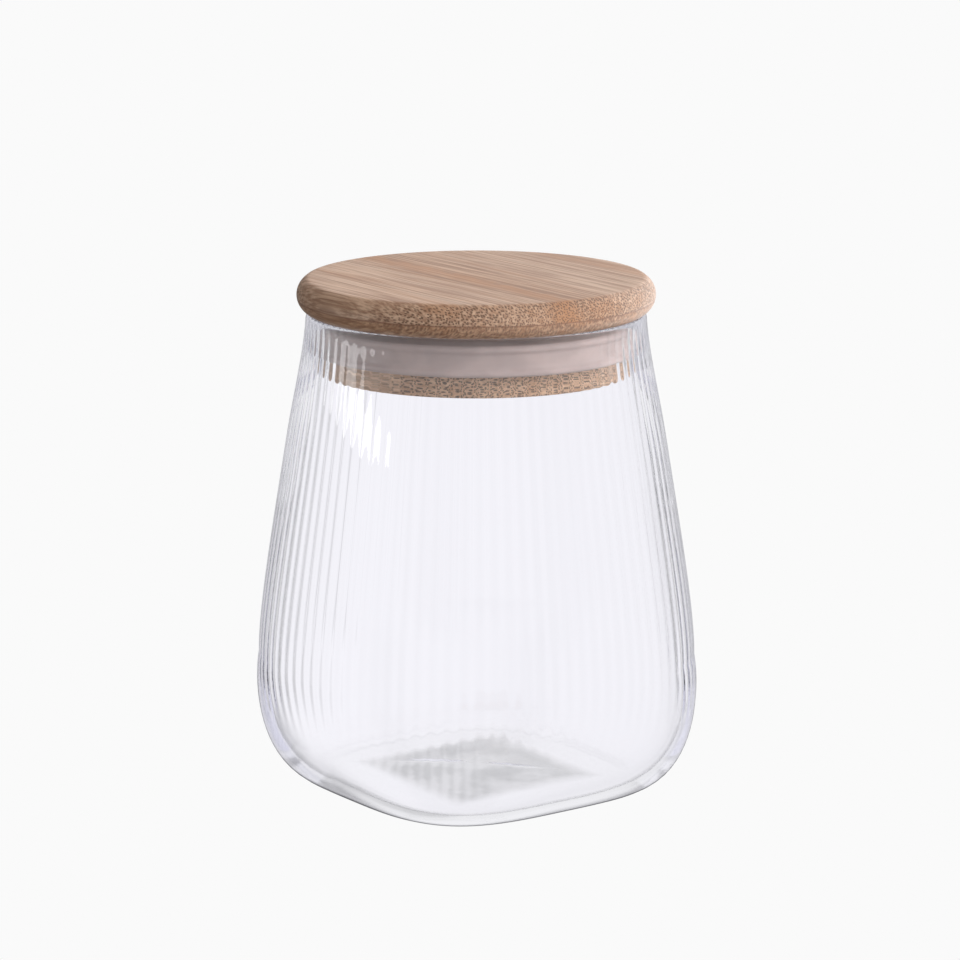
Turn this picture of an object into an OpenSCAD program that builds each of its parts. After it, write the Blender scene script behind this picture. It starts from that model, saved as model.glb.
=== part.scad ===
// Lidded glass canister: a ribbed, rounded-square glass jar with a round mouth,
// closed by a turned bamboo lid whose plug carries a silicone sealing ring.
// Millimetres, +Z up, origin on the standing surface at the centre of the foot.
// The jar's flat sides face +X, -X, +Y and -Y, and the bamboo's grain runs along Y.

/* [Jar body] */
// Height of the glass jar, without its lid
jar_h = 136.3; // [125:0.1:150]
// Outer radius of the round neck
neck_r = 47.5; // [47:0.1:49]
// Half the width of the belly, from flat side to flat side
belly_half = 59.9; // [57:0.1:63]
// Height of the widest part of the belly
belly_z = 38.5; // [35:0.5:45]
// Half the width of the flat foot, from flat side to flat side
foot_half = 36.5; // [34:0.1:38]
// Squareness of the belly (2 is a circle, larger is squarer)
belly_square = 2.2; // [2.1:0.05:2.8]
// Squareness of the foot
foot_square = 3.45; // [2.4:0.05:4]

/* [Glass] */
// Wall thickness at the neck
neck_wall = 2.6; // [2.2:0.1:3]
// Wall thickness at the belly
belly_wall = 1.8; // [1.5:0.1:2.6]
// Height of the floor's edge, where the base is thinnest
floor_z = 2.4; // [2:0.1:5]
// Height of the hollow pushed up under the base
punt_h = 1.8; // [1:0.1:2.4]
// Half the width of the hollow under the base
punt_half = 26.5; // [24:0.5:28]
// Squareness of the hollow and of the swell above it
punt_square = 8; // [3:0.5:10]
// Number of upright flutes round the outside
rib_count = 90; // [60:2:96]
// Depth of the flutes
rib_depth = 0.14; // [0.1:0.02:0.4]

/* [Lid] */
// Largest radius of the cap
cap_r = 50; // [49.5:0.1:52]
// Thickness of the cap
cap_t = 9.4; // [8:0.1:12]
// Radius of the flat on top of the cap
cap_flat_r = 46.9; // [46:0.1:48]
// Thickness of the top ply
top_ply_t = 5.6; // [5:0.1:7]
// Thickness of each lower ply
ply_t = 6.95; // [6.5:0.05:7.5]
// Radius of the plug
plug_r = 41.5; // [41:0.1:42.5]
// Width of one bamboo strip of the top ply
strip_w = 20; // [20:0.5:22]

/* [Sealing ring] */
// Radius of the groove's floor
groove_r = 38.5; // [37.5:0.1:39.5]
// Height of the groove
groove_h = 8.8; // [8:0.1:9]
// Gap between the cap and the groove, where the plug's collar shows
collar_h = 2.4; // [2:0.1:3]
// Gap left between the ring's lips and the mouth
seal_gap = 0.08; // [0.05:0.01:0.2]

/* [Hidden] */
STRIPS = 5;
$fn = 96;

// Jar
bore_r = neck_r - neck_wall;
rim_step = 0.15;
rim_r = (neck_wall - rim_step) / 2;
rim_h = 2;
bore_h = 16;
throat_h = 11;
throat_step = 0.6;
throat_bulge = 3.4;
throat_drop = 18;
heel_in = 1.5;
floor_half = foot_half - 1;
swell_h = punt_h - 0.2;
swell_half = punt_half - 0.7;
flute_low_z = 20;
flute_full_z = 40;
flute_top_h = 2;
flute_fade_h = 5;
round_neck_h = 37;
heel_reach = 19.2;
heel_rise = 4.5;
belly_rise = 20;
neck_drop = 26;
neck_flare = 1.6;
square_fade = 0.82;
low_rings = 8;
high_rings = 7;
outer_cols = 2 * rib_count;
inner_cols = 72;
punt_cols = 48;
cushion_rings = 4;
over = 1;

// Lid
top_z = jar_h + cap_t;
top_ply_z = top_z - top_ply_t;
plug_ply_z = top_ply_z - ply_t;
flange_ply_z = plug_ply_z - ply_t;
plug_bottom_z = flange_ply_z - ply_t;
cap_edge_r = ((cap_t / 2) ^ 2 + (cap_r - cap_flat_r) ^ 2) / (2 * (cap_r - cap_flat_r));
groove_top_z = jar_h - collar_h;
groove_low_z = groove_top_z - groove_h;
strip_x0 = -STRIPS * strip_w / 2;
plug_chamfer = 0.5;

// Sealing ring
ring_gap = 0.1;
ring_low_z = groove_low_z + ring_gap;
ring_h = groove_h - 2 * ring_gap;
ring_r = bore_r - seal_gap;
ring_waist_r = ring_r - 0.7;
lip_r = 0.9;

// A point of a cubic Bezier curve with end points a and d and handles b and c
function bezier(a, b, c, d, t) =
    (1 - t) ^ 3 * a + 3 * (1 - t) ^ 2 * t * b + 3 * (1 - t) * t ^ 2 * c + t ^ 3 * d;

// Rises from 0 at a to 1 at b with level ends
function smooth(a, b, x) =
    let (t = max(0, min(1, (x - a) / (b - a)))) t * t * (3 - 2 * t);

// Squareness of the jar's outline at height z
function squareness(z) =
    z < belly_z
        ? belly_square + (foot_square - belly_square) * (1 - (max(0, z) / belly_z) ^ square_fade)
        : 2 + (belly_square - 2) * smooth(0, round_neck_h, jar_h - z);

// How much of the flutes' depth is there at height z
function flute(z) =
    smooth(flute_low_z, flute_full_z, z)
        * smooth(flute_top_h, flute_fade_h, jar_h - z);

// One ring of a loft: half width, height, columns, flute depth and a squareness of its own
function ring(half, z, cols, depth = 0, square = 0) = [
    for (i = [0:cols - 1])
        let (
            a = 360 * i / cols,
            n = square > 0 ? square : squareness(z),
            r = half / (abs(cos(a)) ^ n + abs(sin(a)) ^ n) ^ (1 / n) - (i % 2) * depth
        )
        [r * cos(a), r * sin(a), z]
];

// Half widths and heights up the outside of the jar, below and above the belly
function outside(top) = concat(
    [for (i = [0:low_rings])
        bezier([foot_half, 0], [foot_half + heel_reach, 0], [belly_half, belly_z - heel_rise],
            [belly_half, belly_z], i / low_rings)],
    [for (i = [1:high_rings])
        bezier([belly_half, belly_z], [belly_half, belly_z + belly_rise],
            [neck_r + neck_flare, top - neck_drop], [neck_r, top], i / high_rings)]
);

// The same up the inside, from the floor to just inside the mouth's bore
function inside() =
    let (half = belly_half - belly_wall, throat_z = jar_h - throat_h)
    concat(
        [for (i = [0:low_rings])
            bezier([floor_half, floor_z], [floor_half + heel_reach - heel_in, floor_z],
                [half, belly_z - heel_rise], [half, belly_z], i / low_rings)],
        [for (i = [1:high_rings])
            bezier([half, belly_z], [half, belly_z + belly_rise],
                [bore_r + throat_bulge, throat_z - throat_drop],
                [bore_r - throat_step, throat_z], i / high_rings)]
    );

// Rings of a soft square cushion standing on a height, from its edge almost to its middle
function cushion(half, h, low_z, cols) = [
    for (i = [0:cushion_rings - 1])
        let (t = i / cushion_rings)
        ring(half * (1 - t), low_z + h * smooth(0, 1, t), cols, 0, punt_square)
];

// A closed solid through a stack of rings of equal numbers of points, with each end's cap
// drawn round its own middle
module loft(rings) {
    cols = len(rings[0]);
    last = len(rings) - 1;
    middles = len(rings) * cols;
    polyhedron(
        points = concat(
            [for (r = rings) each r],
            [for (r = [rings[0], rings[last]]) [0, 0, r[0][2]]]
        ),
        faces = [for (i = [0:cols - 1])
            let (j = (i + 1) % cols)
            each concat(
                [[i, j, middles]],
                [for (k = [0:last - 1])
                    each [
                        [k * cols + i, (k + 1) * cols + i, (k + 1) * cols + j],
                        [k * cols + i, (k + 1) * cols + j, k * cols + j]
                    ]],
                [[last * cols + j, last * cols + i, middles + 1]]
            )]
    );
}

module jar_outside() {
    loft([for (p = outside(jar_h - rim_h)) ring(p[0], p[1], outer_cols, rib_depth * flute(p[1]))]);
    rotate_extrude()
        translate([bore_r, 0])
            rim_profile();
}

// The rounded rim, a little smaller than the neck below it
module rim_profile() {
    translate([0, jar_h - rim_h - over]) square([2 * rim_r, rim_h + over - rim_r]);
    translate([rim_r, jar_h - rim_r]) circle(r = rim_r);
}

module jar_inside() {
    swell = cushion(swell_half, swell_h, floor_z, inner_cols);
    loft(concat(
        [for (k = [len(swell) - 1:-1:0]) swell[k]],
        [for (p = inside()) ring(p[0], p[1], inner_cols)]
    ));
    translate([0, 0, jar_h - bore_h]) cylinder(r = bore_r, h = bore_h + over);
}

module punt() {
    loft(concat(
        [ring(punt_half, -over, punt_cols, 0, punt_square)],
        cushion(punt_half, punt_h, 0, punt_cols)
    ));
}

module glass_jar() {
    color("lightsteelblue", 0.45)
        difference() {
            jar_outside();
            jar_inside();
            punt();
        }
}

// Soft ring that fills the plug's groove, with a lip at each edge
module sealing_ring() {
    color("rosybrown")
        rotate_extrude() {
            translate([groove_r, ring_low_z]) square([ring_waist_r - groove_r, ring_h]);
            for (z = [ring_low_z + lip_r, ring_low_z + ring_h - lip_r])
                translate([ring_r - lip_r, z]) circle(r = lip_r);
        }
}

// Cap with a half-oval edge, as a profile to revolve
module cap_profile() {
    intersection() {
        union() {
            translate([0, jar_h]) square([cap_r - cap_edge_r, cap_t]);
            translate([cap_r - cap_edge_r, jar_h + cap_t / 2]) circle(r = cap_edge_r);
        }
        translate([0, jar_h]) square([cap_r, cap_t]);
    }
}

// Plug with its groove, as a profile to revolve
module plug_profile() {
    translate([0, plug_bottom_z]) square([groove_r, jar_h - plug_bottom_z + over]);
    translate([0, groove_top_z]) square([plug_r, collar_h + over]);
    translate([0, plug_bottom_z + plug_chamfer])
        square([plug_r, groove_low_z - plug_bottom_z - plug_chamfer]);
    translate([0, plug_bottom_z])
        polygon([[0, 0], [plug_r - plug_chamfer, 0], [plug_r, plug_chamfer], [0, plug_chamfer]]);
}

// The slice of the turned lid between two heights
module turned_ply(low, high) {
    rotate_extrude()
        intersection() {
            union() {
                cap_profile();
                plug_profile();
            }
            translate([0, low]) square([cap_r, high - low]);
        }
}

// One edge-glued strip of the top ply, counted from -X
module top_strip(i) {
    color(i % 2 == 0 ? "burlywood" : "tan")
        intersection() {
            turned_ply(top_ply_z, top_z);
            translate([strip_x0 + (i - 1) * strip_w, -cap_r, top_ply_z - over])
                cube([strip_w, 2 * cap_r, top_ply_t + 2 * over]);
        }
}

module cap_ply() {
    color("peru") turned_ply(plug_ply_z, top_ply_z);
}

module plug_ply() {
    color("sienna") turned_ply(flange_ply_z, plug_ply_z);
}

module flange_ply() {
    color("burlywood") turned_ply(plug_bottom_z, flange_ply_z);
}

glass_jar();
sealing_ring();
for (i = [1:STRIPS]) top_strip(i);
cap_ply();
plug_ply();
flange_ply();
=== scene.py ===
"""Looks of the lidded glass canister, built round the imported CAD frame.

Metres, +Z up, origin on the standing surface. The jar's flat sides face the X and Y axes and the
bamboo's grain runs along Y. Every visible piece is a finer mesh that replaces its CAD node.
"""

import math

import bmesh
import bpy
import numpy as np
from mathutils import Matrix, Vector


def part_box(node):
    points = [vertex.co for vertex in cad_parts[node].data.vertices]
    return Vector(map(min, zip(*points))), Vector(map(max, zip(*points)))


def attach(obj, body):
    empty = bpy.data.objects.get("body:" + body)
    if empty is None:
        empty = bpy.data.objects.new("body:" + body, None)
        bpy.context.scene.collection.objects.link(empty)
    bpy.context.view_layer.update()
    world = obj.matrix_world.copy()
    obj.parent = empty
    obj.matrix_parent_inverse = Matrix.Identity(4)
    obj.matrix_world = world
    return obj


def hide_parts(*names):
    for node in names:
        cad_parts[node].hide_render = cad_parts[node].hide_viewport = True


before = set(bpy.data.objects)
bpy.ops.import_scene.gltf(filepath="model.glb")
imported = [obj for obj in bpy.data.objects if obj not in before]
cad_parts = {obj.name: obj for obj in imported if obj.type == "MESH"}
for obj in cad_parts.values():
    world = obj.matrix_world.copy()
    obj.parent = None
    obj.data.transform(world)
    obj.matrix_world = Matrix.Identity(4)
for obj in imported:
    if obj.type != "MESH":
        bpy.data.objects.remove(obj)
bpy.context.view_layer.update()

MM = 0.001
WHITE = (1.0, 1.0, 1.0, 1.0)

# Jar: the outline's driving sizes
JAR_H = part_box("glass_jar")[1].z
BELLY_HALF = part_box("glass_jar")[1].x
BELLY_Z = 38.5 * MM
BELLY_RISE = 20 * MM
BELLY_WALL = 1.8 * MM
BELLY_SQUARE = 2.2
NECK_R = 47.5 * MM
NECK_WALL = 2.6 * MM
NECK_DROP = 26 * MM
NECK_FLARE = 1.6 * MM
ROUND_NECK_H = 37 * MM
FOOT_HALF = 36.5 * MM
FOOT_SQUARE = 3.45
SQUARE_FADE = 0.82
HEEL_REACH = 19.2 * MM
HEEL_RISE = 4.5 * MM
HEEL_IN = 1.5 * MM
FLOOR_Z = 2.4 * MM
FLOOR_HALF = FOOT_HALF - 1.0 * MM
FLOOR_RISE = 1.6 * MM
FLOOR_RISE_HALF = 25.8 * MM
PUNT_SQUARE = 8
PUNT_HALF = 26.5 * MM
PUNT_H = 1.8 * MM
CUSHION_RINGS = 12
CUSHION_END = 0.97
RIM_H = 2 * MM
RIM_STEP = 0.15 * MM
RIM_R = (NECK_WALL - RIM_STEP) / 2
BORE_R = NECK_R - NECK_WALL
THROAT_Z = JAR_H - 11 * MM
THROAT_STEP = 0.6 * MM
THROAT_BULGE = 3.4 * MM
THROAT_DROP = 18 * MM

# Jar: the upright flutes
RIBS = 90
RIB_DEPTH = 0.14 * MM
RIB_COLS = 8
FLUTE_LOW_Z = 20 * MM
FLUTE_FULL_Z = 40 * MM
FLUTE_TOP = 2 * MM
FLUTE_FADE = 5 * MM

# Lid: the plies' levels from the frame, and the turned outline
STRIPS = ["top_strip_%d" % i for i in range(1, 6)]
MIDDLE_STRIP = STRIPS[2]
STRIP_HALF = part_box(MIDDLE_STRIP)[1].x
TOP_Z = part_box(MIDDLE_STRIP)[1].z
TOP_PLY_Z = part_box(MIDDLE_STRIP)[0].z
PLUG_PLY_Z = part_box("cap_ply")[0].z
FLANGE_PLY_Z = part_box("plug_ply")[0].z
PLUG_LOW_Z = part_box("flange_ply")[0].z
CAP_T = TOP_Z - JAR_H
CAP_R = 50 * MM
CAP_FLAT_R = 46.9 * MM
CAP_EDGE_R = ((CAP_T / 2) ** 2 + (CAP_R - CAP_FLAT_R) ** 2) / (2 * (CAP_R - CAP_FLAT_R))
CAP_EDGE_Z = JAR_H + CAP_T / 2
PLUG_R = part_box("flange_ply")[1].x
GROOVE_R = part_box("plug_ply")[1].x
COLLAR_H = 2.4 * MM
GROOVE_H = 8.8 * MM
GROOVE_TOP_Z = JAR_H - COLLAR_H
GROOVE_LOW_Z = GROOVE_TOP_Z - GROOVE_H
CAP_EDGE_BREAK = 0.7 * MM
CAP_EDGE_RUN = 6 * MM
PLY_EDGE = 0.3 * MM
PLUG_EDGE = 0.5 * MM
POLE_R = 1 * MM
TURNED_COLS = 192

# Sealing ring: two lips with a waist between them, standing just free of the groove's wall
RING_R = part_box("sealing_ring")[1].x
RING_LOW_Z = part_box("sealing_ring")[0].z
RING_TOP_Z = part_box("sealing_ring")[1].z
RING_FREE = 0.06 * MM
RING_CORNER = 0.3 * MM
RING_CORNER_RUN = 0.4 * MM
RING_LIP = 0.9 * MM
RING_WAIST = 0.7 * MM
RING_FALL = 2.2 * MM
RING_FALL_START = 1.2 * MM
RING_FALL_END = 0.8 * MM

# Camera
CAMERA_TURN = math.radians(-35.94)
CAMERA_TILT = math.radians(12.18)
CAMERA_FAR = 1.1245
CAMERA_LENS = 150
AIM_RIGHT = 1.06 * MM
AIM_Z = 87.75 * MM
RIGHT = Vector((math.cos(CAMERA_TURN), math.sin(CAMERA_TURN), 0))
NEAR = Vector((math.sin(CAMERA_TURN), -math.cos(CAMERA_TURN), 0))
UP = Vector((0, 0, 1))

# Surroundings. A card spans four places: it starts, is full, stays full, and ends.
BACKDROP = (0.956, 0.956, 0.956, 1.0)
THROUGH_GLASS = (0.975, 0.967, 1.024, 1.0)
WITHIN_GLASS = (0.86, 0.86, 0.88, 1.0)
CARD_DARK = (0.10, 0.10, 0.11, 1.0)
BACK_CARD = (-0.26, -0.12, 0.12, 0.26)
LEFT_CARD = (-0.46, -0.36, -0.30, -0.07)
RIGHT_CARD = (0.28, 0.36, 0.46, 0.56)
BEHIND = (-0.92, -0.75)
HORIZON = (-0.06, 0.04)
LEFT_CARD_SHADE = 0.55
AXIS_CARD_SHADE = 0.35
WITHIN_SHADE = 0.8
WAVES = 5
WAVE_SHIFT = math.radians(60)
WAVE_SHADE = 0.10
FLOOR_R = 6.0
FLOOR_DROP = 0.1 * MM
BOUNCES = 64

# The dim patch of floor under the hollow foot
SHADE_DROP = 0.05 * MM
SHADE_SPREAD = 2 * MM
SHADE_LIGHT = (0.68, 0.675, 0.705, 1.0)
SHADE_DARK = (0.50, 0.50, 0.52, 1.0)

# Colours of the materials
# Painted shade: the dark outline painted on the glass where it is seen edge on
PAINTED_EDGE_SHADE = (0.10, 0.10, 0.11, 1.0)
GLASS_DEPTH = (0.96, 0.96, 0.99, 1.0)
SILICONE = (0.52, 0.41, 0.39, 1.0)
SILICONE_DARK = (0.44, 0.345, 0.33, 1.0)
PALE = (0.62, 0.41, 0.28, 1.0)
PALE_DARK = (0.34, 0.19, 0.118, 1.0)
TAN = (0.53, 0.32, 0.198, 1.0)
TAN_DARK = (0.26, 0.13, 0.072, 1.0)
FLANGE = (0.80, 0.54, 0.37, 1.0)
FLANGE_DARK = (0.50, 0.29, 0.17, 1.0)
WARM = (0.42, 0.195, 0.085, 1.0)
GLUE = (0.17, 0.065, 0.032, 1.0)
BUNDLE = (0.115, 0.058, 0.030, 1.0)


# ---------------------------------------------------------------- curves and meshes

def bezier(a, b, c, d, steps):
    """Points on a cubic Bezier curve, both ends included."""
    t = np.linspace(0, 1, steps + 1)[:, None]
    a, b, c, d = (np.array(p) for p in (a, b, c, d))
    return (1 - t) ** 3 * a + 3 * (1 - t) ** 2 * t * b + 3 * (1 - t) * t ** 2 * c + t ** 3 * d


def arc(centre, radius, start, end, steps):
    """Points on a circle's arc between two angles in degrees."""
    t = np.radians(np.linspace(start, end, steps + 1))
    return np.stack([centre[0] + radius * np.cos(t), centre[1] + radius * np.sin(t)], 1)


def smooth(low, high, x):
    """Rises from 0 at low to 1 at high with level ends."""
    t = min(1.0, max(0.0, (x - low) / (high - low)))
    return t * t * (3 - 2 * t)


def filleted(corners, steps=4):
    """An outline whose corners, given as (r, z, fillet radius), are rounded off."""
    points = []
    for k, (r, z, fillet) in enumerate(corners):
        here = np.array([r, z])
        if fillet == 0 or k in (0, len(corners) - 1):
            points.append(here)
            continue
        before, after = (np.array(corners[k + side][:2]) - here for side in (-1, 1))
        before, after = before / np.linalg.norm(before), after / np.linalg.norm(after)
        for t in np.linspace(0, 1, steps + 1):
            points.append(here + fillet * ((1 - t) ** 2 * before + t ** 2 * after))
    return np.array(points)


def object_from(name, mesh, sharp_angle):
    """An object whose faces shade smoothly, apart from edges sharper than the angle in degrees."""
    mesh.polygons.foreach_set("use_smooth", [True] * len(mesh.polygons))
    mesh.set_sharp_from_angle(angle=math.radians(sharp_angle))
    made = bpy.data.objects.new(name, mesh)
    bpy.context.scene.collection.objects.link(made)
    return made


def skin(name, rings, sharp_angle=30, closed=False):
    """A mesh through a stack of rings. It closes on itself, or ends in a pole at each end's centre."""
    count, cols = rings.shape[:2]
    points = rings.reshape(-1, 3)
    rows = np.arange(count if closed else count - 1)[:, None]
    col = np.arange(cols)[None, :]
    here, above = rows * cols, (rows + 1) % count * cols
    beside = (col + 1) % cols
    quads = np.stack(np.broadcast_arrays(here + col, here + beside, above + beside, above + col), -1)
    faces = quads.reshape(-1, 4).tolist()
    if not closed:
        points = np.concatenate([points, [rings[0].mean(0), rings[-1].mean(0)]])
        low, high, last = len(points) - 2, len(points) - 1, (count - 1) * cols
        faces += [[(i + 1) % cols, i, low] for i in range(cols)]
        faces += [[last + i, last + (i + 1) % cols, high] for i in range(cols)]
    mesh = bpy.data.meshes.new(name)
    mesh.from_pydata(points.tolist(), [], faces)
    mesh.update()
    return object_from(name, mesh, sharp_angle)


def turned(name, outline, closed=False):
    """A mesh turned round the Z axis from an outline of (r, z) points, which runs anticlockwise."""
    angles = np.radians(np.arange(TURNED_COLS) * 360 / TURNED_COLS)
    around = np.stack([np.cos(angles), np.sin(angles)], 1)
    rings = np.zeros((len(outline), TURNED_COLS, 3))
    rings[:, :, :2] = outline[:, 0][:, None, None] * around[None]
    rings[:, :, 2] = outline[:, 1][:, None]
    return skin(name, rings, closed=closed)


# ---------------------------------------------------------------- the jar

ANGLES = np.radians(np.arange(RIBS * RIB_COLS) * 360 / (RIBS * RIB_COLS))
COS, SIN = np.cos(ANGLES), np.sin(ANGLES)


def squareness(z):
    """The power of the jar's superellipse at a height: 2 is a circle, larger is squarer."""
    if z < BELLY_Z:
        fade = (max(0.0, z) / BELLY_Z) ** SQUARE_FADE
        return BELLY_SQUARE + (FOOT_SQUARE - BELLY_SQUARE) * (1 - fade)
    return 2 + (BELLY_SQUARE - 2) * smooth(0, ROUND_NECK_H, JAR_H - z)


def flute_depth(z):
    """How deep the flutes are at a height."""
    return RIB_DEPTH * smooth(FLUTE_LOW_Z, FLUTE_FULL_Z, z) * smooth(FLUTE_TOP, FLUTE_FADE, JAR_H - z)


def jar_ring(half, z, depth=0.0, n=None):
    """One ring of points round the jar, with rounded flutes cut in to a depth."""
    n = n or squareness(z)
    r = half / (np.abs(COS) ** n + np.abs(SIN) ** n) ** (1 / n)
    r = r - depth * (1 - np.cos(RIBS * ANGLES)) / 2
    return np.stack([r * COS, r * SIN, np.full_like(r, z)], 1)


def jar_outside():
    """Outline up the outside, from the foot's edge to just under the rim."""
    top = JAR_H - RIM_H
    heel = bezier([FOOT_HALF, 0], [FOOT_HALF + HEEL_REACH, 0],
                  [BELLY_HALF, BELLY_Z - HEEL_RISE], [BELLY_HALF, BELLY_Z], steps=24)
    side = bezier([BELLY_HALF, BELLY_Z], [BELLY_HALF, BELLY_Z + BELLY_RISE],
                  [NECK_R + NECK_FLARE, top - NECK_DROP], [NECK_R, top], steps=30)
    return np.concatenate([heel, side[1:]])


def jar_inside():
    """Outline down the inside, from the bore's lower end to the floor's edge."""
    half = BELLY_HALF - BELLY_WALL
    side = bezier([BORE_R - THROAT_STEP, THROAT_Z],
                  [BORE_R + THROAT_BULGE, THROAT_Z - THROAT_DROP],
                  [half, BELLY_Z + BELLY_RISE], [half, BELLY_Z], steps=22)
    heel = bezier([half, BELLY_Z], [half, BELLY_Z - HEEL_RISE],
                  [FLOOR_HALF + HEEL_REACH - HEEL_IN, FLOOR_Z], [FLOOR_HALF, FLOOR_Z], steps=20)
    outline = np.concatenate([side, heel[1:]])
    in_throat = outline[:, 1] > THROAT_Z - THROAT_DROP
    outline[in_throat, 0] = np.maximum(outline[in_throat, 0], BORE_R)
    return outline


def cushion(half, height, low_z):
    """Rings of a soft square cushion, from its edge almost to its middle."""
    return [jar_ring(half * (1 - t), low_z + height * smooth(0, 1, t), n=PUNT_SQUARE)
            for t in np.linspace(0, CUSHION_END, CUSHION_RINGS)]


def make_jar():
    """The whole jar as one closed surface: base, fluted outside, rim, bore, inside and floor."""
    base = cushion(PUNT_HALF, PUNT_H, 0)[::-1]
    outside = [jar_ring(r, z, flute_depth(z)) for r, z in jar_outside()]
    rim_centre = (BORE_R + RIM_R, JAR_H - RIM_R)
    rim = [jar_ring(r, z) for r, z in arc(rim_centre, RIM_R, 0, 180, steps=10)]
    inside = [jar_ring(r, z) for r, z in jar_inside()]
    floor = cushion(FLOOR_RISE_HALF, FLOOR_RISE, FLOOR_Z)
    jar = skin("clear_glass_jar", np.array(base + outside + rim + inside + floor), sharp_angle=50)
    jar.visible_shadow = False
    return jar


# ---------------------------------------------------------------- the lid and the ring

def cap_edge(low, high, steps):
    """The cap's rounded edge between two heights, going up."""
    centre = (CAP_R - CAP_EDGE_R, CAP_EDGE_Z)
    ends = [math.degrees(math.asin((z - CAP_EDGE_Z) / CAP_EDGE_R)) for z in (low, high)]
    return arc(centre, CAP_EDGE_R, *ends, steps)


def make_top_ply():
    """The cap's upper layer as one turned disc, softly broken at its top edge."""
    edge = cap_edge(TOP_PLY_Z, TOP_Z, steps=18)
    corner = [*edge[-1], CAP_EDGE_BREAK]
    tail = filleted([[*edge[-2], 0], corner, [CAP_FLAT_R - CAP_EDGE_RUN, TOP_Z, 0]])
    return turned("top_ply", np.concatenate([edge[:-2], tail, [[POLE_R, TOP_Z]]]))


def cut_strip(name, disc, low_x, high_x):
    """The part of the disc between two upright planes, closed where it is cut."""
    shape = bmesh.new()
    shape.from_mesh(disc.data)
    for plane_x, side in ((low_x, -1), (high_x, 1)):
        everything = shape.verts[:] + shape.edges[:] + shape.faces[:]
        cut = bmesh.ops.bisect_plane(shape, geom=everything, dist=1e-7, plane_co=(plane_x, 0, 0),
                                     plane_no=(side, 0, 0), clear_outer=True)
        edges = [e for e in cut["geom_cut"] if isinstance(e, bmesh.types.BMEdge)]
        if edges:
            bmesh.ops.triangle_fill(shape, use_beauty=True, edges=edges)
    bmesh.ops.recalc_face_normals(shape, faces=shape.faces[:])
    mesh = bpy.data.meshes.new(name)
    shape.to_mesh(mesh)
    shape.free()
    return object_from(name, mesh, sharp_angle=30)


def make_strips():
    """The five edge-glued strips of the top layer."""
    disc = make_top_ply()
    strips = []
    for node in STRIPS:
        low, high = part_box(node)
        strips.append(cut_strip("bamboo_" + node, disc, low.x, high.x))
    bpy.data.objects.remove(disc)
    return strips


def make_cap_ply():
    """The layer under the top one: the cap's lower edge, and the collar down to the groove."""
    edge = cap_edge(JAR_H, TOP_PLY_Z, steps=14)
    under = filleted([
        [POLE_R, PLUG_PLY_Z, 0],
        [GROOVE_R, PLUG_PLY_Z, 0],
        [GROOVE_R, GROOVE_TOP_Z, 0],
        [PLUG_R, GROOVE_TOP_Z, PLY_EDGE],
        [PLUG_R, JAR_H, PLY_EDGE],
        [*edge[0], 0],
    ])
    return turned("bamboo_cap_ply", np.concatenate([under, edge[1:], [[POLE_R, TOP_PLY_Z]]]))


def make_plug_ply():
    """The layer inside the groove, which the ring grips."""
    return turned("bamboo_plug_ply", filleted([
        [POLE_R, FLANGE_PLY_Z, 0],
        [GROOVE_R, FLANGE_PLY_Z, 0],
        [GROOVE_R, PLUG_PLY_Z, 0],
        [POLE_R, PLUG_PLY_Z, 0],
    ]))


def make_flange_ply():
    """The lowest layer, whose flange holds the ring from below."""
    return turned("bamboo_flange_ply", filleted([
        [POLE_R, PLUG_LOW_Z, 0],
        [PLUG_R, PLUG_LOW_Z, PLUG_EDGE],
        [PLUG_R, GROOVE_LOW_Z, PLY_EDGE],
        [GROOVE_R, GROOVE_LOW_Z, 0],
        [GROOVE_R, FLANGE_PLY_Z, 0],
        [POLE_R, FLANGE_PLY_Z, 0],
    ]))


def make_ring():
    """The soft ring: two rounded lips with a shallow waist between them."""
    inner_r = GROOVE_R + RING_FREE
    lip_r = RING_R - RING_LIP
    low_z, top_z = RING_LOW_Z + RING_LIP, RING_TOP_Z - RING_LIP
    waist_r = RING_R - RING_WAIST
    waist = bezier([RING_R, low_z], [RING_R, low_z + RING_FALL_START],
                   [waist_r, low_z + RING_FALL_END], [waist_r, low_z + RING_FALL], steps=8)
    mirrored = np.stack([waist[::-1, 0], RING_LOW_Z + RING_TOP_Z - waist[::-1, 1]], 1)
    outline = np.concatenate([
        filleted([[inner_r, RING_LOW_Z + RING_CORNER_RUN, 0], [inner_r, RING_LOW_Z, RING_CORNER],
                  [lip_r, RING_LOW_Z, 0]])[1:-1],
        arc((lip_r, low_z), RING_LIP, -90, 0, steps=8)[:-1],
        waist,
        mirrored,
        arc((lip_r, top_z), RING_LIP, 0, 90, steps=8)[1:],
        filleted([[lip_r, RING_TOP_Z, 0], [inner_r, RING_TOP_Z, RING_CORNER],
                  [inner_r, RING_TOP_Z - RING_CORNER_RUN, 0]])[1:-1],
    ])
    return turned("silicone_ring", outline, closed=True)


# ---------------------------------------------------------------- materials

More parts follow.
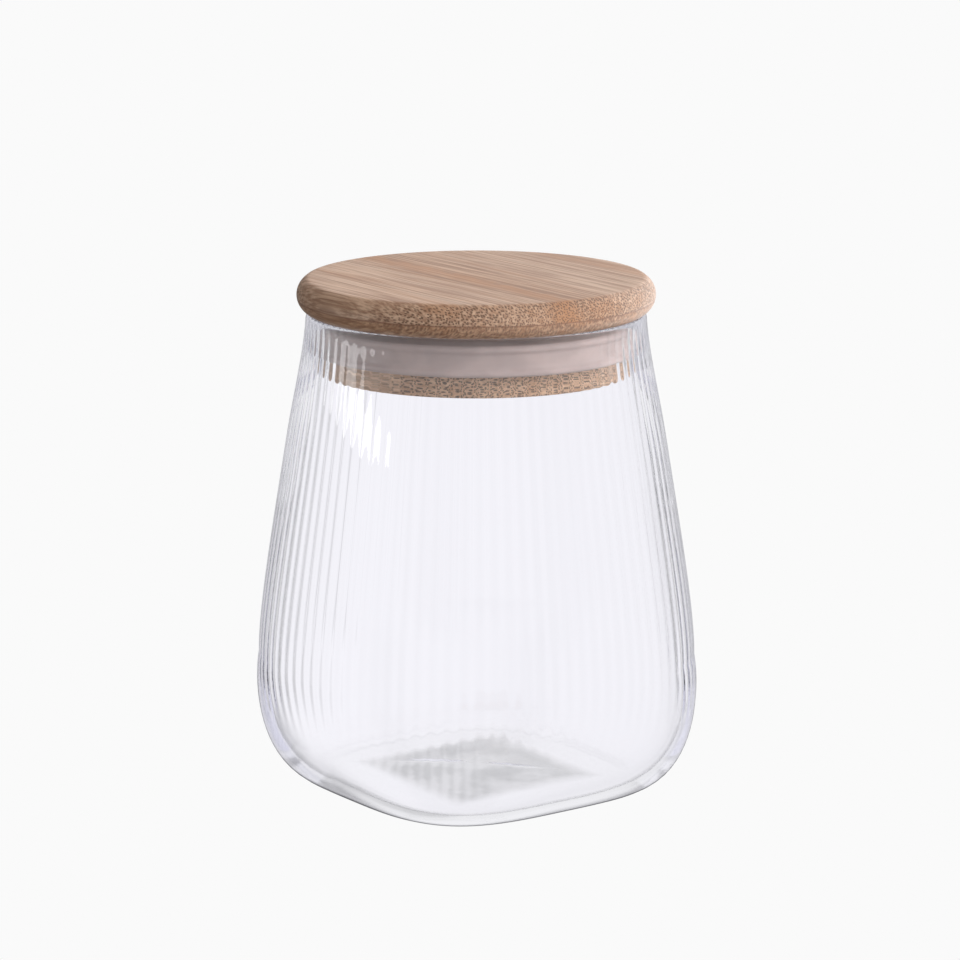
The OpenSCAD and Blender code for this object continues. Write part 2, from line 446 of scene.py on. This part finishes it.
class Tree:
    """A node tree that is built up with short calls."""

    def __init__(self, owner):
        owner.use_nodes = True
        self.tree = owner.node_tree
        self.tree.nodes.clear()

    def add(self, kind, inputs=None, **settings):
        """A new node, with its settings, and a value or a link for each named input."""
        made = self.tree.nodes.new(kind)
        for key, value in settings.items():
            setattr(made, key, value)
        for key, value in (inputs or {}).items():
            if isinstance(value, bpy.types.NodeSocket):
                self.tree.links.new(value, made.inputs[key])
            else:
                made.inputs[key].default_value = value
        return made

    def math(self, operation, *values):
        """The result of a Math node."""
        return self.add("ShaderNodeMath", dict(enumerate(values)), operation=operation).outputs[0]

    def vector(self, operation, *values):
        """The result of a Vector Math node."""
        made = self.add("ShaderNodeVectorMath", dict(enumerate(values)), operation=operation)
        return made.outputs["Value" if operation == "DOT_PRODUCT" else "Vector"]

    def scaled(self, vector, factor):
        """A vector times a number."""
        made = self.add("ShaderNodeVectorMath", {0: vector, "Scale": factor}, operation="SCALE")
        return made.outputs["Vector"]

    def split(self, vector):
        """A vector's three parts."""
        return self.add("ShaderNodeSeparateXYZ", {0: vector}).outputs

    def place_mm(self):
        """The shaded point's place in its object, in millimetres."""
        return self.scaled(self.add("ShaderNodeTexCoord").outputs["Object"], 1 / MM)

    def mix(self, factor, a, b):
        """Two colours mixed by a factor."""
        return self.add("ShaderNodeMix", {0: factor, 6: a, 7: b}, data_type="RGBA").outputs[2]

    def step(self, value, low, high, start=0.0, end=1.0):
        """A value carried smoothly from the range low..high to start..end."""
        return self.add("ShaderNodeMapRange", {0: value, 1: low, 2: high, 3: start, 4: end},
                        interpolation_type="SMOOTHSTEP").outputs[0]

    def noise(self, vector, size, detail=2.0, roughness=0.5):
        """Noise whose grain is size, a triple in the vector's units."""
        spread = self.vector("DIVIDE", vector, size)
        return self.add("ShaderNodeTexNoise", {"Vector": spread, "Scale": 1.0, "Detail": detail,
                                               "Roughness": roughness}).outputs[0]


def finished(tree, shader, volume=None):
    """Connects a material's shader to its output."""
    links = {"Surface": shader.outputs[0]}
    if volume:
        links["Volume"] = volume.outputs[0]
    tree.add("ShaderNodeOutputMaterial", links)


def glass_material():
    """Clear, faintly blue glass, with a painted dark outline where it is seen edge on."""
    material = bpy.data.materials.new("clear_glass")
    tree = Tree(material)
    # Painted shade: the base colour turns dark where the glass is seen edge on, a painted dark outline
    facing = tree.add("ShaderNodeLayerWeight", {"Blend": 0.5}).outputs["Facing"]
    painted_outline = tree.mix(tree.step(facing, 0.72, 0.92), WHITE, PAINTED_EDGE_SHADE)
    shader = tree.add("ShaderNodeBsdfPrincipled", {
        "Base Color": painted_outline, "Roughness": 0.0, "IOR": 1.47, "Transmission Weight": 1.0})
    volume = tree.add("ShaderNodeVolumeAbsorption", {"Color": GLASS_DEPTH, "Density": 30.0})
    finished(tree, shader, volume)
    return material


def silicone_material():
    """Milky, slightly pink silicone with faint moulding marks."""
    material = bpy.data.materials.new("silicone")
    tree = Tree(material)
    place = tree.place_mm()
    cloud = tree.noise(place, (9.0, 9.0, 5.0), detail=3.0)
    grain = tree.noise(place, (0.35, 0.35, 0.35))
    colour = tree.mix(tree.step(cloud, 0.35, 0.65), SILICONE_DARK, SILICONE)
    bump = tree.add("ShaderNodeBump", {"Strength": 0.15, "Distance": 0.1 * MM, "Height": grain})
    shader = tree.add("ShaderNodeBsdfPrincipled", {
        "Base Color": colour, "Roughness": tree.step(grain, 0.3, 0.7, 0.34, 0.46), "IOR": 1.41,
        "Subsurface Weight": 0.35, "Subsurface Radius": (1.0, 0.7, 0.6),
        "Subsurface Scale": 1.2 * MM, "Normal": bump.outputs[0]})
    finished(tree, shader)
    return material


def bundle_dots(tree, own, cell):
    """The fibre bundles cut across: 1 in the middle of each dot, and 0 between them."""
    wander = tree.add("ShaderNodeTexNoise", {
        "Vector": tree.vector("DIVIDE", own, (9.0, 26.0, 9.0)), "Scale": 1.0, "Detail": 2.0})
    offset = tree.scaled(tree.vector("SUBTRACT", wander.outputs["Color"], (0.5, 0.5, 0.5)), 2.4)
    drawn = tree.split(tree.vector("ADD", own, offset))
    across = tree.add("ShaderNodeCombineXYZ", {
        0: tree.math("DIVIDE", drawn[0], cell[0]),
        1: tree.math("DIVIDE", drawn[2], cell[1])})
    bundles = tree.add("ShaderNodeTexVoronoi", {
        "Vector": across.outputs[0], "Scale": 1.0, "Randomness": 0.85}, voronoi_dimensions="2D")
    density = tree.noise(own, (5.0, 60.0, 3.0))
    reach = tree.step(density, 0.3, 0.7, 0.30, 0.52)
    return tree.step(bundles.outputs["Distance"], 0.20, reach, 1.0, 0.0)


def glue_lines(tree, spot, seams):
    """How much of the glue shows: under the top ply, and fainter between its strips."""
    from_ply = tree.math("ABSOLUTE", tree.math("SUBTRACT", spot[2], TOP_PLY_Z / MM))
    ply_line = tree.step(from_ply, 0.1, 0.4, 0.6, 0.0)
    half = STRIP_HALF / MM
    from_edge = tree.math("PINGPONG", tree.math("ADD", spot[0], half), half)
    return tree.math("MAXIMUM", ply_line, tree.step(from_edge, 0.08, 0.3, seams, 0.0))


def bamboo_material(name, seed, light, dark, cell=(0.68, 0.68), dots=0.9, warm_x=None, seams=0.0):
    """Bamboo whose fibres run along Y: bundles show as dots on the end grain, as streaks elsewhere.

    light and dark are the ground's two shades, cell a bundle's spacing in X and Z in millimetres,
    dots how dark the bundles are, warm_x the middle of a browner band in millimetres, and seams how
    dark the glue lines between strips are. seed moves the pattern, so that no two pieces match.
    """
    material = bpy.data.materials.new(name)
    tree = Tree(material)
    place = tree.place_mm()
    spot = tree.split(place)
    own = tree.vector("ADD", place, (37.0 * seed, 91.0 * seed, 53.0 * seed))
    streak = tree.noise(own, (0.9, 46.0, 0.9), detail=5.0, roughness=0.62)
    band = tree.noise(own, (6.0, 130.0, 6.0))
    blotch = tree.noise(own, (3.5, 9.0, 2.5), detail=3.0)

    ground = tree.mix(tree.step(streak, 0.36, 0.62), light, dark)
    ground = tree.mix(tree.step(band, 0.45, 0.75, 0.0, 0.5), ground, WARM)
    if warm_x is not None:
        from_middle = tree.math("SUBTRACT", spot[0], warm_x + 4.0)
        wavy = tree.math("ABSOLUTE", tree.math("MULTIPLY_ADD", blotch, 8.0, from_middle))
        ground = tree.mix(tree.step(wavy, 1.0, 5.0, 0.8, 0.0), ground, WARM)
    ground = tree.mix(tree.step(blotch, 0.3, 0.75, 0.0, 0.22), ground, dark)
    ground = tree.mix(glue_lines(tree, spot, seams), ground, GLUE)

    normal = tree.split(tree.add("ShaderNodeTexCoord").outputs["Normal"])
    end_grain = tree.step(tree.math("ABSOLUTE", normal[1]), 0.15, 0.6)
    shown = tree.step(end_grain, 0.0, 1.0, 0.22, dots)
    strength = tree.math("MULTIPLY", bundle_dots(tree, own, cell), shown)
    colour = tree.mix(strength, ground, BUNDLE)

    height = tree.math("SUBTRACT", tree.math("MULTIPLY", streak, 0.7), strength)
    bump = tree.add("ShaderNodeBump", {"Strength": 0.35, "Distance": 0.08 * MM, "Height": height})
    shader = tree.add("ShaderNodeBsdfPrincipled", {
        "Base Color": colour, "Roughness": tree.step(streak, 0.3, 0.7, 0.38, 0.5), "IOR": 1.5,
        "Normal": bump.outputs[0]})
    finished(tree, shader)
    return material


# ---------------------------------------------------------------- stage, light and camera

def card(tree, value, span):
    """A dark card's strength across a value: 0 outside the span, and 1 between its inner places."""
    start, full, still_full, end = span
    rise = tree.step(value, start, full)
    return tree.math("MULTIPLY", rise, tree.step(value, still_full, end, 1.0, 0.0))


def glass_surroundings(tree, path, direction, sideways, nearward):
    """What the glass shows: pale lilac through it, and white with dark cards in its reflections."""
    axes = tree.split(direction)
    turn = tree.math("ARCTAN2", axes[1], axes[0])
    turn = tree.math("SUBTRACT", turn, CAMERA_TURN + math.pi / 2)
    phase = tree.math("MULTIPLY_ADD", turn, float(WAVES), WAVE_SHIFT)
    waves = tree.math("MULTIPLY_ADD", tree.math("COSINE", phase), 0.5, 0.5)

    behind = tree.step(nearward, *BEHIND, 1.0, 0.0)
    low = tree.step(axes[2], *HORIZON, 1.0, 0.0)
    left = tree.math("MULTIPLY", behind, card(tree, sideways, LEFT_CARD))
    right = tree.math("MULTIPLY", behind, card(tree, sideways, RIGHT_CARD))
    back = tree.math("MULTIPLY", tree.math("MULTIPLY", behind, low), card(tree, sideways, BACK_CARD))
    axis_cards = tree.math("MAXIMUM", card(tree, axes[0], BACK_CARD), card(tree, axes[1], BACK_CARD))
    axis_shade = tree.math("MULTIPLY", tree.math("MULTIPLY", axis_cards, low), AXIS_CARD_SHADE)
    outline = tree.math("MAXIMUM", back, axis_shade)

    dimmed = tree.math("MAXIMUM", tree.math("MULTIPLY", waves, WAVE_SHADE),
                       tree.math("MULTIPLY", left, LEFT_CARD_SHADE))
    through = tree.mix(dimmed, THROUGH_GLASS, CARD_DARK)
    outside = tree.mix(outline, THROUGH_GLASS, CARD_DARK)
    within_shade = tree.math("MULTIPLY", tree.math("MAXIMUM", outline, right), WITHIN_SHADE)
    within = tree.mix(within_shade, WITHIN_GLASS, CARD_DARK)
    entered = tree.math("GREATER_THAN", path["Transmission Depth"], 0.5)
    mirrored = tree.math("GREATER_THAN", path["Glossy Depth"], 0.5)
    return tree.mix(mirrored, through, tree.mix(entered, outside, within))


def studio_surroundings(tree, diffused, sideways, nearward):
    """What lights the wood and the ring: bright on the right and in front, dim on the left."""
    sheen_right = tree.step(sideways, -0.5, 1.0, 0.12, 3.2)
    sheen = tree.math("ADD", sheen_right, tree.step(nearward, 0.0, 1.0, 0.0, 0.8))
    ambient = tree.step(sideways, -1.0, 1.0, 0.26, 0.84)
    level = tree.add("ShaderNodeMix", {0: diffused, 2: sheen, 3: ambient}).outputs[0]
    return tree.add("ShaderNodeCombineXYZ", {0: level, 1: level, 2: level}).outputs[0]


def make_world():
    """The surroundings, which differ by what a ray has met.

    The camera sees the plain backdrop. Sharp rays see the glass's surroundings, unless they have
    met a matt surface on their way. All others see the studio.
    """
    world = bpy.data.worlds.new("studio")
    bpy.context.scene.world = world
    tree = Tree(world)
    path = tree.add("ShaderNodeLightPath").outputs
    direction = tree.add("ShaderNodeTexCoord").outputs["Generated"]
    sideways = tree.vector("DOT_PRODUCT", direction, RIGHT)
    nearward = tree.vector("DOT_PRODUCT", direction, NEAR)
    diffused = tree.math("GREATER_THAN", path["Diffuse Depth"], 0.5)
    sharp = tree.math("MAXIMUM", tree.math("SUBTRACT", path["Is Singular Ray"], diffused), 0.0)

    in_glass = glass_surroundings(tree, path, direction, sideways, nearward)
    studio = studio_surroundings(tree, diffused, sideways, nearward)
    seen = tree.mix(path["Is Camera Ray"], tree.mix(sharp, studio, in_glass), BACKDROP)
    light = tree.add("ShaderNodeBackground", {0: seen, 1: 1.0})
    tree.add("ShaderNodeOutputWorld", {0: light.outputs[0]})


def stage_object(name, shape, z, material):
    """A stage object made of a bmesh, which this uses up, at a height and with a material."""
    mesh = bpy.data.meshes.new(name)
    shape.to_mesh(mesh)
    shape.free()
    mesh.materials.append(material)
    made = bpy.data.objects.new(name, mesh)
    bpy.context.scene.collection.objects.link(made)
    made.location.z = z
    return made


def make_floor():
    """A plain pale floor, as white as the backdrop it runs into, that only the camera sees."""
    material = bpy.data.materials.new("pale_floor")
    tree = Tree(material)
    finished(tree, tree.add("ShaderNodeEmission", {0: BACKDROP, 1: 1.0}))
    shape = bmesh.new()
    bmesh.ops.create_circle(shape, cap_ends=True, segments=64, radius=FLOOR_R)
    floor = stage_object("floor", shape, -FLOOR_DROP, material)
    floor.visible_glossy = False
    floor.visible_transmission = False
    floor.visible_diffuse = False


def shade_material():
    """Cloudy grey with ripples that fade to the right, clear towards the patch's edges."""
    material = bpy.data.materials.new("hollow_shade")
    tree = Tree(material)
    place = tree.place_mm()
    away = tree.split(tree.vector("ABSOLUTE", place))
    edge = tree.math("MAXIMUM", away[0], away[1])
    across = tree.vector("DOT_PRODUCT", place, RIGHT)
    patches = tree.noise(place, (14.0, 14.0, 5.0), detail=3.0)
    bent = tree.math("MULTIPLY_ADD", patches, 3.0, across)
    ripple = tree.math("MULTIPLY", tree.math("SINE", tree.math("MULTIPLY", bent, 1.9)),
                       tree.step(across, -8.0, 6.0, 0.40, 0.05))
    tone = tree.math("ADD", tree.step(patches, 0.35, 0.65), ripple)
    shade = tree.add("ShaderNodeEmission", {0: tree.mix(tone, SHADE_LIGHT, SHADE_DARK)})
    clear = tree.add("ShaderNodeBsdfTransparent", {0: WHITE})
    finished(tree, tree.add("ShaderNodeMixShader", {
        0: tree.step(edge, 19.0, 27.0), 1: shade.outputs[0], 2: clear.outputs[0]}))
    return material


def make_hollow_shade():
    """The dim patch of floor under the hollow in the jar's foot, seen only through the glass."""
    shape = bmesh.new()
    bmesh.ops.create_grid(shape, x_segments=2, y_segments=2, size=PUNT_HALF + SHADE_SPREAD)
    patch = stage_object("hollow_shade", shape, -SHADE_DROP, shade_material())
    patch.visible_camera = False
    patch.visible_glossy = False
    patch.visible_diffuse = False
    patch.visible_shadow = False


def softbox(name, where, size, power, glossy=True):
    """A rectangular lamp aimed at the jar, from a place given along RIGHT, NEAR and UP."""
    lamp = bpy.data.lights.new(name, "AREA")
    lamp.shape = "RECTANGLE"
    lamp.size, lamp.size_y = size
    lamp.energy = power
    lit = bpy.data.objects.new(name, lamp)
    bpy.context.scene.collection.objects.link(lit)
    right, near, up = where
    lit.location = RIGHT * right + NEAR * near + UP * up
    target = Vector((0, 0, 0.09))
    lit.rotation_euler = (target - lit.location).to_track_quat("-Z", "Y").to_euler()
    lit.visible_camera = False
    lit.visible_transmission = False
    lit.visible_glossy = glossy


def make_lights():
    """A large soft key from the right, and a small low strip on the left that the flutes mirror."""
    softbox("key", where=(0.94, 0.44, 0.73), size=(0.7, 0.7), power=6.0, glossy=False)
    softbox("left_strip", where=(-0.18, 0.051, 0.1175), size=(0.12, 0.014), power=0.020)


def make_camera():
    """The camera, turned and tilted as the object is seen."""
    back = NEAR * math.cos(CAMERA_TILT) + UP * math.sin(CAMERA_TILT)
    lens = bpy.data.cameras.new("camera")
    lens.lens = CAMERA_LENS
    lens.clip_start = 0.01
    camera = bpy.data.objects.new("camera", lens)
    bpy.context.scene.collection.objects.link(camera)
    camera.location = RIGHT * AIM_RIGHT + UP * AIM_Z + back * CAMERA_FAR
    camera.rotation_mode = "QUATERNION"
    camera.rotation_quaternion = (-back).to_track_quat("-Z", "Y")
    bpy.context.scene.camera = camera


# ---------------------------------------------------------------- assembly

def add_piece(piece, material, body, slot, *nodes):
    """Gives a piece its material and its CAD body, and hides the CAD nodes it stands for. slot is not
    used.
    """
    piece.data.materials.append(material)
    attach(piece, body)
    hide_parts(*nodes)


def add_strips():
    """The top layer's strips, the middle one darker and with a warm band."""
    for seed, (strip, node) in enumerate(zip(make_strips(), STRIPS), start=1):
        if node == MIDDLE_STRIP:
            wood = bamboo_material(node, seed, TAN, TAN_DARK, warm_x=-5.0, seams=0.35)
        else:
            wood = bamboo_material(node, seed, PALE, PALE_DARK, seams=0.35)
        add_piece(strip, wood, "lid", "bamboo_top", node)


def add_plies():
    """The three layers under the top one."""
    cap_wood = bamboo_material("cap_ply", 7, TAN, TAN_DARK, cell=(0.6, 1.7), dots=0.6)
    plug_wood = bamboo_material("plug_ply", 8, TAN, TAN_DARK)
    flange_wood = bamboo_material("flange_ply", 9, FLANGE, FLANGE_DARK, dots=1.0)
    add_piece(make_cap_ply(), cap_wood, "lid", "bamboo_ply", "cap_ply")
    add_piece(make_plug_ply(), plug_wood, "lid", "bamboo_ply", "plug_ply")
    add_piece(make_flange_ply(), flange_wood, "lid", "bamboo_ply", "flange_ply")


make_camera()
add_piece(make_jar(), glass_material(), "jar", "clear_glass", "glass_jar")
add_piece(make_ring(), silicone_material(), "ring", "silicone", "sealing_ring")
add_strips()
add_plies()

make_world()
make_floor()
make_hollow_shade()
make_lights()

scene = bpy.context.scene
scene.view_settings.view_transform = "Standard"
scene.cycles.max_bounces = BOUNCES
scene.cycles.transmission_bounces = BOUNCES
scene.cycles.glossy_bounces = BOUNCES
